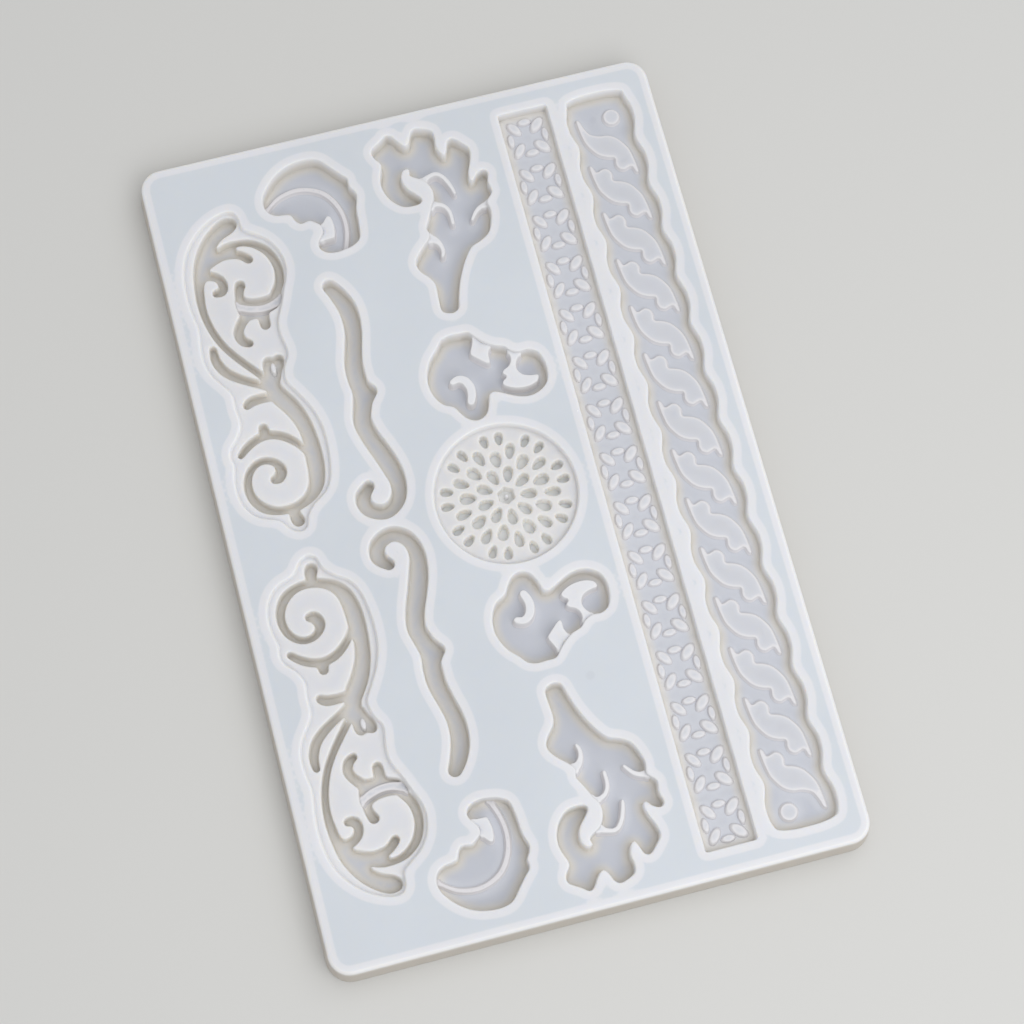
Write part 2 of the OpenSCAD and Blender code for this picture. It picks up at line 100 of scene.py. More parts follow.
# %% Triangles of a CAD node
def node_triangles(name):
    """A CAD node's corners in mm, merged where they coincide, and its triangles."""
    mesh = nodes[name].data
    place = np.empty(len(mesh.vertices) * 3, np.float32)
    mesh.vertices.foreach_get("co", place)
    mesh.calc_loop_triangles()
    corner = np.empty(len(mesh.loop_triangles) * 3, np.int32)
    mesh.loop_triangles.foreach_get("vertices", corner)
    key = np.round(place.reshape(-1, 3) / MM * 2000).astype(np.int64)
    merged, index = np.unique(key, axis=0, return_inverse=True)
    return merged / 2000.0, index.reshape(-1)[corner].reshape(-1, 3)


def flat_part(name, level, facing):
    """The node's triangles that lie flat at one height and face up (1) or down (-1)."""
    point, tri = node_triangles(name)
    a, b, c = (point[tri[:, k]] for k in range(3))
    up = np.cross(b - a, c - a)[:, 2]
    flat = (np.abs(point[tri][:, :, 2] - level).max(1) < 0.004) & (up * facing > 0)
    return point, tri[flat]


# %% Sides strung into loops
def strung(side):
    """The corners of closed loops in walking order, and the loop each one belongs to.
    Jumps along the loop double in length each round, so a few rounds reach round it."""
    corner, first = np.unique(side[:, 0], return_inverse=True)
    follow = np.zeros(len(corner), np.int64)
    follow[first.reshape(-1)] = np.searchsorted(corner, side[:, 1])
    label, jump = np.arange(len(corner)), follow.copy()
    for _ in range(14):
        label, jump = np.minimum(label, label[jump]), jump[jump]
    last = follow == label
    jump, steps = np.where(last, np.arange(len(corner)), follow), (~last).astype(int)
    for _ in range(14):
        steps, jump = steps + steps[jump], jump[jump]
    order = np.lexsort((-steps, label))
    return corner[order], label[order]


def outlines(name, level, facing=1):
    """The closed outlines of a node's flat part at one height, in mm, with the rubber
    on the left of the walking direction."""
    point, tri = flat_part(name, level, facing)
    side = np.concatenate([tri[:, [0, 1]], tri[:, [1, 2]], tri[:, [2, 0]]])
    ahead = side[:, 0] * len(point) + side[:, 1]
    behind = side[:, 1] * len(point) + side[:, 0]
    side = side[~np.isin(ahead, behind)][:, ::facing]
    corner, label = strung(side)
    cuts = np.flatnonzero(np.diff(label)) + 1
    return np.split(point[corner][:, :2], cuts)


def area(loop):
    """Area inside a loop, positive when it is walked anticlockwise."""
    x, y = loop.T
    return 0.5 * float(np.sum(x * np.roll(y, -1) - y * np.roll(x, -1)))


# %% Every outline of the slab
TOP = round(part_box("land_sheet")[1].z / MM, 3)
FLOOR = round(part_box("base_sheet")[1].z / MM, 3)
land_loops = sorted(outlines("land_sheet", TOP), key=area)
deep_loops = sorted(outlines("land_sheet", FLOOR, -1), key=area)
slab_loop = land_loops.pop()
deep_loops.pop()
land_point, land_tri = node_triangles("land_sheet")
print("slab top", np.ptp(slab_loop, axis=0).round(2), "mm;", len(land_loops), "outlines in")
print("the land and", len(deep_loops), "that go down to the floor at", FLOOR, "mm")

# %% [markdown]
# ## Easing the outlines
# The CAD outlines are chains of short straight sides with crisp corners. Rubber that
# was poured against a polished tool follows soft curves, so each loop is resampled in
# even steps and every point becomes the bell-weighted mean of its neighbours. Done as
# a filter on the whole loop at once, that costs nothing and treats all corners alike.


# %% Easing a loop
def walked(loop, step):
    """The closed loop resampled at even steps of about that length."""
    closed = np.vstack([loop, loop[:1]])
    along = np.concatenate([[0], np.cumsum(np.hypot(*np.diff(closed, axis=0).T))])
    count = max(12, round(along[-1] / step))
    at = np.arange(count) * along[-1] / count
    return np.column_stack([np.interp(at, along, closed[:, k]) for k in (0, 1)])


def eased(loop, step, soft):
    """The loop at even steps, after a bell-shaped mean of width soft along it."""
    fine = walked(loop, 0.08)
    length = np.hypot(*np.diff(fine, axis=0).T).sum()
    turns = np.fft.fftfreq(len(fine), length / len(fine))
    bell = np.exp(-2 * (math.pi * soft * turns) ** 2)[:, None]
    return walked(np.real(np.fft.ifft(np.fft.fft(fine, axis=0) * bell, axis=0)), step)


def aside(loop, away):
    """The loop moved sideways: each point plus away times the unit vector at a right
    angle to the chord of its two neighbours, to the right of the walking direction."""
    run = np.roll(loop, -1, 0) - np.roll(loop, 1, 0)
    run /= np.maximum(np.hypot(*run.T), 1e-9)[:, None]
    return loop + np.reshape(away, (-1, 1)) * np.column_stack([run[:, 1], -run[:, 0]])


# %% Distance to outlines
REACH = 4.0  # distances are worked out up to this far, in mm


def pair_gap(p, a, b):
    """Distances from points p (n, 1, 2) to the segments from a to b (m, 2)."""
    ab = b - a
    t = np.clip(((p - a) * ab).sum(2) / np.maximum((ab**2).sum(1), 1e-12), 0, 1)
    off = p - a - t[..., None] * ab
    return np.sqrt((off**2).sum(2))


def near_gaps(point, loop, keep=None):
    """Where point is near the loop: its index there, the distance to the nearest side,
    and whether it is inside. keep picks the sides that the distance counts."""
    box = (point > loop.min(0) - REACH) & (point < loop.max(0) + REACH)
    near = np.flatnonzero(box.all(1))
    a, b = loop, np.roll(loop, -1, 0)
    keep = np.ones(len(loop), bool) if keep is None else keep
    gap, odd = np.full(len(near), REACH), np.zeros(len(near), bool)
    parts = np.array_split(np.arange(len(near)), len(near) * len(loop) // 3_000_000 + 1)
    for part in parts:
        p = point[near[part]][:, None]
        if keep.any():
            gap[part] = np.minimum(REACH, pair_gap(p, a[keep], b[keep]).min(1))
        over = (a[:, 1] > p[..., 1]) != (b[:, 1] > p[..., 1])
        rise = np.where(a[:, 1] == b[:, 1], 1.0, b[:, 1] - a[:, 1])
        cross = a[:, 0] + (p[..., 1] - a[:, 1]) * (b[:, 0] - a[:, 0]) / rise
        odd[part] = (over & (p[..., 0] < cross)).sum(1) % 2 == 1
    return near, gap, odd


def surveyed(point, loops, blend=1.0):
    """For each point: the distance to the nearest of the loops, whether it is inside,
    and the sum of exp(-distance / blend) over the loops, which melts them together."""
    gap = np.full(len(point), REACH)
    odd = np.zeros(len(point), bool)
    total = np.zeros(len(point))
    for loop in loops:
        near, near_gap, near_odd = near_gaps(point, loop)
        gap[near] = np.minimum(gap[near], near_gap)
        total[near] += np.exp(-near_gap / blend)
        odd[near] ^= near_odd
    return gap, odd, total


def inside_by(point, loops):
    """Signed distance in mm to the nearest outline, positive inside a hollow."""
    gap, odd, _ = surveyed(point, loops)
    return np.where(odd, gap, -gap)


# %% [markdown]
# ## One surface for the whole top
# The top of the slab is a height over each point of the plan, so it can be a single
# sheet of triangles. Its corners sit in rings at fixed distances beside each outline,
# close together where the surface bends and far apart where it is flat. The height
# follows from the distance and from how deep the hollow is: a small round over the
# rim, a steep wall with a little draft so that a casting can be pulled out, a round
# foot, then the floor.

# %% The section through a wall
RIM, FOOT, DRAFT = 0.42, 0.5, 0.24
RINGS = (-0.62, -0.42, -0.22, -0.08, 0.0, 0.24, 0.34, 0.5, 0.74)
WALL_RINGS = (-0.42, 0.0, 0.24, 0.74)
STEP, SOFT, SAME = 0.6, 0.3, 0.02


def sunk(s, drop, foot=FOOT):
    """Depth below the land for a distance s inside a hollow that is drop deep: zero to
    -RIM, then a quarter circle, a straight wall over DRAFT, and a quarter circle."""
    foot = np.minimum(foot, 0.4 * drop)
    rim = np.minimum(RIM, 0.4 * drop)
    over = rim - np.sqrt(np.maximum(rim**2 - np.clip(s + rim, 0, rim) ** 2, 0))
    wall = rim + np.clip(s / DRAFT, 0, 1) * (drop - rim - foot)
    left = np.clip(foot - (s - DRAFT), 0, foot)
    under = drop - foot + np.sqrt(np.maximum(foot**2 - left**2, 0))
    return np.where(s <= 0, over, np.where(s < DRAFT, wall, under))


def bounds_of(loop):
    """A loop's lowest x and y, then its highest."""
    return np.concatenate([loop.min(0), loop.max(0)])


def opens_on_land(loop):
    """Whether an outline of the land has the same box as this loop, to SAME mm."""
    return min(np.abs(bounds_of(loop) - bounds_of(o)).max() for o in land_loops) < SAME


def step_for(loop):
    """The step between a loop's points: shorter on a small loop, never over STEP."""
    return min(STEP, 0.02 * math.sqrt(abs(area(loop))) + 0.38)


levels = np.unique(np.round(land_point[land_tri][:, :, 2][:, 0], 2))
shallow = []
for level in [v for v in levels if FLOOR < v < TOP]:
    for loop in outlines("land_sheet", level):
        if area(loop) > 0 and opens_on_land(loop):
            shallow.append((TOP - level, eased(loop[::-1], STEP, SOFT)))
deep = [eased(loop, step_for(loop), SOFT) for loop in deep_loops]
print("shallow hollows:", [round(float(d), 2) for d, _ in shallow], "deep:", len(deep))


# %% Where the corners of the sheet go
def rings_beside(loop, group, first):
    """Points in rings beside one outline, without those that another side of its
    group is nearer to, and the sides that walls need, as pairs of point numbers."""
    points, sides = [], []
    for s in RINGS:
        ring = aside(loop, s)
        fits = np.abs(inside_by(ring, group) - s) < 0.04 + 0.06 * abs(s)
        number = np.where(fits, first + np.cumsum(fits) - 1, -1)
        pair = np.column_stack([number, np.roll(number, -1)])
        if s in WALL_RINGS:
            sides.append(pair[(pair >= 0).all(1)])
        points.append(ring[fits])
        first += int(fits.sum())
    return np.vstack(points), np.vstack(sides)


def neighbours(loop, loops):
    """The loops whose boxes come within 3 mm of this loop's box."""
    lo, hi = loop.min(0) - 3, loop.max(0) + 3
    return [o for o in loops if (o.max(0) > lo).all() and (o.min(0) < hi).all()]


points, sides, first = [], [], 0
for group in ([loop for _, loop in shallow], deep):
    for loop in group:
        ring, pair = rings_beside(loop, neighbours(loop, group), first)
        points.append(ring)
        sides.append(pair)
        first += len(ring)
points, sides = np.vstack(points), np.vstack(sides)
print(len(points), "ring points and", len(sides), "wall sides")


# %% Flat ground between the rings
def dots(low, high, step):
    """An even grid of points, every second row set over by half a step."""
    x = np.arange(low[0], high[0], step)
    y = np.arange(low[1], high[1], step * 0.87)
    grid = np.stack(np.meshgrid(x, y), -1)
    grid[1::2, :, 0] += step / 2
    return grid.reshape(-1, 2)


EDGE_ROUND = 1.0  # radius of the slab's upper edge
half = np.ptp(slab_loop, axis=0) / 2
short_side = slab_loop[slab_loop[:, 1] > half[1] - 0.01]
corner = half[0] - short_side[:, 0].max()
edge = walked(slab_loop, 0.9)


def from_edge(point):
    """Distance in mm inwards from the edge of the top, a rectangle with round corners:
    the corner radius, minus the length of what lies past the corner's centre, or the
    larger of the two gaps to the sides."""
    past = np.abs(point) - (half - corner)
    return corner - np.hypot(*np.maximum(past, 0).T) - np.minimum(past.max(1), 0)


brim = aside(edge, -EDGE_ROUND)
land = dots(-half + 2, half - 2, 1.35)
all_loops = [loop for _, loop in shallow] + deep
hollow = inside_by(land, [l for _, l in shallow])
pocket = inside_by(land, deep)
clear = (np.abs(hollow + 0.05) > 1.0) & (np.abs(pocket + 0.05) > 1.0)
land = land[clear & (from_edge(land) > EDGE_ROUND + 0.8)]


# %% Joining the points up
def joined(point, side, low=1e-4):
    """Triangles between the points, facing up, that keep the given sides."""
    found = delaunay_2d_cdt([Vector(p) for p in point], side.tolist(), [], 0, low)
    place = np.array([v[:] for v in found[0]])
    tri = np.array(found[2])
    a, b, c = (place[tri[:, k]] for k in range(3))
    turn = (b - a)[:, 0] * (c - a)[:, 1] - (b - a)[:, 1] * (c - a)[:, 0]
    tri = np.where(turn[:, None] > 0, tri, tri[:, ::-1])
    return place, tri[np.abs(turn) > 1e-7]


brim_side = np.column_stack([np.arange(len(brim)), np.roll(np.arange(len(brim)), -1)])
all_sides = np.vstack([brim_side, sides + len(brim)])
plan, top_tri = joined(np.vstack([brim, points, land]), all_sides)
at_brim = from_edge(plan) < EDGE_ROUND + 0.01
top_tri = top_tri[~at_brim[top_tri].all(1)]
print(len(plan), "corners and", len(top_tri), "triangles on the top")

# %% Heights
BLEND = 0.35
MEDALLION_DROP, PETAL_FOOT = 2.0, 0.16  # the medallion's petals have a nearly sharp foot
surveys = [surveyed(plan, [loop], BLEND) for _, loop in shallow] + [surveyed(plan, deep, BLEND)]
signed = [np.where(odd, gap, -gap) for gap, odd, _ in surveys]
shallow_z = TOP - sum(sunk(s, drop) for (drop, _), s in zip(shallow, signed))
ring = next(loop for drop, loop in shallow if abs(drop - MEDALLION_DROP) < 0.01)
low, high = ring.min(0), ring.max(0)
petals = [l for l in deep if (l.min(0) > low).all() and (l.max(0) < high).all()]
cup = surveyed(plan, petals)[1]
height = shallow_z - sunk(signed[-1], shallow_z - FLOOR, np.where(cup, PETAL_FOOT, FOOT))
print(len(petals), "petals")
print("heights from", height.min().round(2), "to", height.max().round(2))

# %% How far each point is from a raised detail
RAISED = [name for name in nodes if name not in ("base_sheet", "land_sheet")]
raised_loops = [walked(loop, 0.5) for name in RAISED
                for loop in outlines(name, round(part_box(name)[1].z / MM, 3)) if area(loop) > 0]
gap, over, _ = surveyed(plan, raised_loops)
apart = np.where(over, 0.0, gap)
print(len(raised_loops), "raised outlines")

# %% How far each point is from an outline
melt = sum(total for _, _, total in surveys) + np.exp(-from_edge(plan) / BLEND)
on_land = np.clip(-BLEND * np.log(np.maximum(melt, 1e-5)), 0, REACH)
in_hollow = np.min([gap for gap, _, _ in surveys], axis=0)
near_top = np.where(TOP - height > 0.5, in_hollow, on_land)

# %% [markdown]
# ## Closing the slab
# The side is one section carried round the edge: a quarter round at the top, a wall
# that leans out a little towards the ground, and a small round where it stands. The
# underside is flat. All three parts share their corner points, so the slab is closed.


# %% A section carried along a loop
def carried(loop, section):
    """Rings of points for a section of (offset, height) pairs carried along a loop, and
    the quads between one ring and the next, as four point numbers each."""
    count = len(loop)
    rings = [np.column_stack([aside(loop, off), np.full(count, z)]) for off, z in section]
    here = np.arange(count)
    ahead = np.roll(here, -1)
    quads = [np.column_stack([here + count * k, here + count * (k + 1),
                              ahead + count * (k + 1), ahead + count * k])
             for k in range(len(section) - 1)]
    return np.vstack(rings), np.vstack(quads)


def split(quads):
    """Each quad as two triangles."""
    return np.vstack([quads[:, [0, 1, 2]], quads[:, [0, 2, 3]]])


def made(name, place, faces, values):
    """A mesh object from points in mm and triangles or quads, welded where the points
    coincide, smooth, with one value per point for each named attribute."""
    key = np.round(place * 2000).astype(np.int64)
    _, keep, index = np.unique(key, axis=0, return_index=True, return_inverse=True)
    index = index.reshape(-1)
    tri = index[np.vstack([split(f) if f.shape[1] == 4 else f for f in faces])]
    tri = tri[(tri != np.roll(tri, 1, 1)).all(1)]
    mesh = bpy.data.meshes.new(name)
    mesh.vertices.add(len(keep))
    mesh.vertices.foreach_set("co", (place[keep] * MM).astype(np.float32).ravel())
    mesh.loops.add(tri.size)
    mesh.loops.foreach_set("vertex_index", tri.astype(np.int32).ravel())
    mesh.polygons.add(len(tri))
    mesh.polygons.foreach_set("loop_start", np.arange(0, tri.size, 3, dtype=np.int32))
    mesh.update(calc_edges=True)
    mesh.validate()
    mesh.shade_smooth()
    for label, value in values.items():
        layer = mesh.attributes.new(label, "FLOAT", "POINT")
        layer.data.foreach_set("value", np.asarray(value, np.float32)[keep])
    piece = bpy.data.objects.new(name, mesh)
    bpy.context.scene.collection.objects.link(piece)
    print(f"{name}: {len(keep)} corners, {len(tri)} triangles")
    return piece


# %% Side and underside
FLARE = np.ptp(outlines("base_sheet", 0.0, -1)[0], axis=0)[0] / 2 - half[0]


def lean(z):
    """How far the side wall stands out past the top face at height z."""
    return FLARE * (TOP - z) / TOP


turns = np.radians([0, 18, 36, 54, 72, 90])
section = [(-EDGE_ROUND + (EDGE_ROUND + lean(TOP - EDGE_ROUND)) * math.sin(t),
            TOP - EDGE_ROUND + EDGE_ROUND * math.cos(t)) for t in turns]
section += [(lean(z), z) for z in (6.4, 4.6, 2.8, 1.2, 0.45)]
section += [(lean(0) - 0.12, 0.16), (lean(0) - 0.3, 0.03), (lean(0) - 0.55, 0.0)]
side_place, side_quads = carried(edge, section)
sole = aside(edge, section[-1][0])
inner = dots(-half + 4, half - 4, 9.0)
under, under_tri = joined(np.vstack([sole, inner]), brim_side)

# %% The slab
place = np.vstack([np.column_stack([plan, height]), side_place,
                   np.column_stack([under, np.zeros(len(under))])])
faces = [top_tri, split(side_quads) + len(plan),
         under_tri[:, ::-1] + len(plan) + len(side_place)]
rest = np.zeros(len(side_place) + len(under))
# side grows down the slab's outer side and steers its painted darker, warmer shade towards the
# foot.
values = {"near": np.concatenate([near_top, rest]), "deep": TOP - place[:, 2],
          "cup": np.concatenate([cup, rest]), "apart": np.concatenate([apart, rest + REACH]),
          "side": np.clip((from_edge(place[:, :2]) < 0.3) * (TOP - place[:, 2] - 0.4) / 1.2, 0, 1)}
slab = made("mould_slab", place, faces, values)

# %% [markdown]
# ## The raised details
# Inside the hollows stand low islands: tie bands, teeth, vein ribs, rope strands. Each
# is a flat-topped shape with a thin round edge and a small flare where it grows out of
# the floor. Its outline comes from its CAD node. Where the outline follows the wall of
# a hollow there is no free edge, so there the piece runs on into the wall instead.

# %% A flat-topped island
TOP_ROUND, SINK, INTO_WALL, SLIM = 0.26, 0.15, 0.4, 0.14
INNER_RINGS = (0.07, 0.15, TOP_ROUND)
FLARE_OUT = ((0.13, 0.42), (0.27, 0.2), (0.44, 0.06), (0.58, -SINK))
FADE_OUT = (0.0, 0.05, 0.3, 0.8, 0.9)  # the "near" value of each ring of the side


def island(loop, foot, top, step):
    """Points, triangles and values of one island: its top is at the height top, less a
    quarter circle of radius TOP_ROUND towards its free edge, and its side is carried
    round the outline down to a flare on the floor."""
    ring = eased(loop, step, 0.22)
    wall = surveyed(ring, all_loops)[0] < 0.14
    push = np.convolve(np.concatenate([wall[-2:], wall, wall[:2]]), np.ones(5) / 5, "valid")
    ring = aside(ring, -SLIM * (1 - push))
    outer = aside(ring, INTO_WALL * push)
    free = ~(wall | np.roll(wall, -1))
    fits = []
    for s in INNER_RINGS:
        inner = aside(ring, -s)[~wall]
        fits.append(inner[np.abs(near_gaps(inner, ring)[1] - s) < 0.03])
    grid = dots(ring.min(0) - 1, ring.max(0) + 1, 1.0)
    index, gap, odd = near_gaps(grid, outer)
    fits.append(grid[index][odd & (gap > 0.55)])
    count = np.arange(len(outer))
    sides = np.column_stack([count, np.roll(count, -1)])
    plan, tri = joined(np.vstack([outer] + fits), sides)
    index, gap, odd = near_gaps(plan[tri].mean(1), outer)
    tri = tri[index[odd]]
    s = near_gaps(plan, ring, free)[1]
    left = np.clip(TOP_ROUND - s, 0, TOP_ROUND)
    lid = np.column_stack([plan, top - TOP_ROUND + np.sqrt(TOP_ROUND**2 - left**2)])
    section = [(0.0, 0.0)] + [(off, foot + up) for off, up in FLARE_OUT]
    hem, quads = carried(outer, section)
    hem[: len(outer)] = lid[: len(outer)]
    base, base_tri = joined(hem[-len(outer):, :2], sides)
    index, gap, odd = near_gaps(base[base_tri].mean(1), hem[-len(outer):, :2])
    base_tri = base_tri[index[odd]]
    base = np.column_stack([base, np.full(len(base), foot - SINK)])
    faces = np.vstack([tri, split(quads) + len(lid), base_tri[:, ::-1] + len(lid) + len(hem)])
    rest = np.zeros(len(hem) + len(base))
    near = np.concatenate([s, np.repeat(FADE_OUT, len(outer)), np.full(len(base), 0.9)])
    return np.vstack([lid, hem, base]), faces, near, np.concatenate([s, rest])


def islands(name, node, foot, step=0.5):
    """One piece that stands for a CAD node of islands."""
    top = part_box(node)[1].z / MM
    parts = [island(loop, foot, top, step) for loop in outlines(node, top) if area(loop) > 0]
    shift = np.cumsum([0] + [len(part[0]) for part in parts[:-1]])
    place = np.vstack([part[0] for part in parts])
    faces = [part[1] + k for part, k in zip(parts, shift)]
    near, apart = (np.concatenate([part[k] for part in parts]) for k in (2, 3))
    return made(name, place, faces, {"near": near, "deep": TOP - place[:, 2], "apart": apart})


# %% A rounded pebble
def pebbles(name, node, foot, section, around=16, pale=False):
    """One piece of domes on oval feet. An oval's centre and axes come from its outline:
    the axes are the directions in which its corners spread most and least, and a half
    axis is the root of twice the spread. The dome is the section turned on the oval.
    A pale one takes the tint of the land and, lying near its rim all over, the painted rim
    highlight: painted light that keeps its sides from reading as shaded."""
    loops = [l for l in outlines(node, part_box(node)[1].z / MM) if area(l) > 0]
    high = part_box(node)[1].z / MM - foot
    centre = np.array([(bounds_of(l)[:2] + bounds_of(l)[2:]) / 2 for l in loops])
    spread = np.array([np.cov((l - c).T, bias=True) for l, c in zip(loops, centre)])
    value, axis = np.linalg.eigh(spread)
    arm = axis * np.sqrt(2 * value)[:, None, :]
    arm[np.linalg.det(axis) < 0, :, 0] *= -1
    angle = np.arange(around) * math.tau / around
    circle = np.stack([np.cos(angle), np.sin(angle)])
    rim = np.einsum("nij,jk->nki", arm, circle)
    flat = np.ones(rim.shape[:2] + (1,))
    rings = [np.concatenate([centre[:, None] + rim * out, flat * (foot + high * up)], 2)
             for out, up in section]
    tips = [np.column_stack([centre, np.full(len(centre), foot + high * up)])[:, None]
            for up in (section[0][1], section[-1][1])]
    place = np.concatenate(rings + tips, 1)
    here = np.arange(around)
    ahead = np.roll(here, -1)
    last = len(section) - 1
    quads = np.vstack([np.column_stack([here + around * k, ahead + around * k,
                                        ahead + around * (k + 1), here + around * (k + 1)])
                       for k in range(last)])
    under_tip, tip = around * len(section), around * len(section) + 1
    high_ring = around * last
    fans = np.vstack([
        np.column_stack([ahead, here, np.full(around, under_tip)]),
        np.column_stack([here + high_ring, ahead + high_ring, np.full(around, tip)])])
    tri = np.vstack([split(quads), fans])
    tri = (tri[None] + np.arange(len(loops))[:, None, None] * place.shape[1]).reshape(-1, 3)
    near = np.array([0.0] * around * last + [0.3] * around + [0, 1.0])
    point = place.reshape(-1, 3)
    near = np.tile(near, len(loops))
    sunk_by = 0 * point[:, 2] if pale else TOP - point[:, 2]
    return made(name, point, [tri], {"near": near, "deep": sunk_by, "apart": near})


# %% All the raised pieces
PEG = ((1.3, -0.04), (1.03, 0.1), (0.97, 0.86), (0.7, 1.0))
OVAL = ((1.22, -0.1), (1.07, 0.22), (0.97, 0.62), (0.88, 0.9), (0.72, 1.0))
lattice_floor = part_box("lattice_ovals")[0].z / MM
rope_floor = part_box("rope_strands")[0].z / MM
details = {}
for end in ("upper", "lower"):
    for word, node in (("tie_band", "scroll_tie"), ("leaf_arc", "crescent_arc"),
                       ("leaf_tooth", "crescent_step"), ("vein_ribs", "acanthus_veins"),
                       ("comma_rib", "sprig_comma"), ("hook_and_step", "sprig_steps")):
        details[f"{node}_{end}"] = islands(f"{word}_{end}", f"{node}_{end}", FLOOR)
    peg = f"scroll_peg_{end}"
    details[peg] = pebbles(f"knot_peg_{end}", peg, FLOOR, PEG, pale=True)
details["medallion_peg"] = pebbles("star_peg", "medallion_peg", FLOOR, PEG, 20, True)
details["lattice_ovals"] = pebbles("lattice_ovals_soft", "lattice_ovals", lattice_floor, OVAL)
details["rope_strands"] = islands("rope_strands_soft", "rope_strands", rope_floor)
details["rope_dots"] = islands("rope_dots_soft", "rope_dots", rope_floor, 0.4)
for node, piece in details.items():
    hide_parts(node)
    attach(piece, "root")
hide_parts("base_sheet", "land_sheet")
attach(slab, "root")
print(len(details) + 1, "pieces")

# %% [markdown]
# ## The rubber
# The rubber is a cool white, and most of the light and shade on it is painted into
# its colour: the floors are painted a darker bluish grey the deeper they lie, the
# ground beside each hollow a paler, more neutral white as a painted glow, each rim
# gets a painted highlight, and corners and narrow channels a painted warm grey shade.
# The medallion's petals are painted lighter, and the slab's side a darker, warmer
# shade towards its foot. Values stored on the meshes steer this, most of all the
# distance to the nearest outline and the depth below the land, both in millimetres.
# Three more mark the medallion's petals, the slab's side, and how far a point is from
# where a raised piece meets the slab.


# %% Small helpers for node groups
def linear(red, green, blue):
    """A colour given in 0 to 255 steps as seen on a screen, made linear."""
    steps = np.array([red, green, blue]) / 255
    light = np.where(steps < 0.04045, steps / 12.92, ((steps + 0.055) / 1.055) ** 2.4)
    return tuple(light) + (1.0,)


def group(name, inputs, outputs):
    """An empty shader node group with named sockets, and its input and output nodes."""
    tree = bpy.data.node_groups.new(name, "ShaderNodeTree")
    for label, kind, value in inputs:
        socket = tree.interface.new_socket(label, in_out="INPUT", socket_type=kind)
        socket.default_value = value
    for label, kind in outputs:
        tree.interface.new_socket(label, in_out="OUTPUT", socket_type=kind)
    return tree, tree.nodes.new("NodeGroupInput"), tree.nodes.new("NodeGroupOutput")


def put(tree, kind, links=(), **settings):
    """A node with its settings, its sockets linked or set by number or name."""
    node = tree.nodes.new(kind)
    for key, value in settings.items():
        setattr(node, key, value)
    for socket, value in dict(links).items():
        if isinstance(value, bpy.types.NodeSocket):
            tree.links.new(value, node.inputs[socket])
        else:
            node.inputs[socket].default_value = value
    return node


def ramp(tree, value, low, high, start=0.0, end=1.0):
    """A smooth step from start to end while value goes from low to high."""
    return put(tree, "ShaderNodeMapRange", {0: value, 1: low, 2: high, 3: start, 4: end},
               interpolation_type="SMOOTHSTEP").outputs[0]


def blend_of(tree, share, a, b):
    """Colour a turning into colour b as share goes from 0 to 1."""
    return put(tree, "ShaderNodeMix", {0: share, 6: a, 7: b}, data_type="RGBA").outputs[2]


# %% Tint, with painted light and shade by depth and by distance to the outlines
FLOAT, COLOUR = "NodeSocketFloat", "NodeSocketColor"
tint, given, result = group("rubber_tint_and_painted_light", [
    ("Near", FLOAT, 0.0), ("Deep", FLOAT, 0.0), ("Clouds", FLOAT, 0.5),
    ("Land", COLOUR, linear(217, 222, 228)), ("Band", COLOUR, linear(229, 230, 234)),
    ("Lip", COLOUR, linear(238, 238, 239)), ("Floor", COLOUR, linear(201, 204, 212)),
    ("Corner", COLOUR, linear(220, 216, 209)), ("Reach", FLOAT, 3.2),
    ("Cup", FLOAT, 0.0), ("Petal", COLOUR, linear(231, 232, 232)),
    ("Side", FLOAT, 0.0), ("Wall", COLOUR, linear(199, 192, 183))], [("Color", COLOUR)])
wire = given.outputs
# Painted glow: a paler, more neutral white within about 2.5 mm of each outline and on the first mm
# down a hollow, standing in for light scattered through the rubber.
band = ramp(tint, wire["Near"], 1.95, 2.55, 1.0, 0.0)
step_down = ramp(tint, wire["Deep"], 0.2, 0.9)
whiter = put(tint, "ShaderNodeMath", {0: band, 1: step_down}, operation="MAXIMUM").outputs[0]
land_colour = blend_of(tint, whiter, wire["Land"], wire["Band"])
# Painted highlight: a brighter white along each rim, within half a mm of the outline.
lip = ramp(tint, wire["Near"], 0.1, 0.5, 0.7, 0.0)
land_colour = blend_of(tint, lip, land_colour, wire["Lip"])
# Painted shade: floors take the warm Corner tone beside the walls and all across narrow channels,
# and the Floor grey further out.
open_floor = ramp(tint, wire["Near"], 0.2, wire["Reach"])
floor_colour = blend_of(tint, open_floor, wire["Corner"], wire["Floor"])
# Painted light: the medallion's petals are painted lighter than other floors, and lighter still
# beside their walls, so that they read shallow.
petal_wall = ramp(tint, wire["Near"], 0.15, 0.5)
petal_colour = blend_of(tint, petal_wall, linear(236, 235, 232), wire["Petal"])
floor_colour = blend_of(tint, wire["Cup"], floor_colour, petal_colour)
# Painted shade: the deeper a point lies below the land, the more it takes the darker floor colour.
sunk_share = ramp(tint, wire["Deep"], 0.5, 4.2)
whole = blend_of(tint, sunk_share, land_colour, floor_colour)
# Painted shade: the slab's outer side turns a darker, warmer colour towards its foot.
whole = blend_of(tint, wire["Side"], whole, wire["Wall"])
cloud = ramp(tint, wire["Clouds"], 0.3, 0.7, 0.985, 1.015)
final = put(tint, "ShaderNodeVectorMath", {0: whole}, operation="SCALE")
tint.links.new(cloud, final.inputs[3])
tint.links.new(final.outputs[0], result.inputs["Color"])

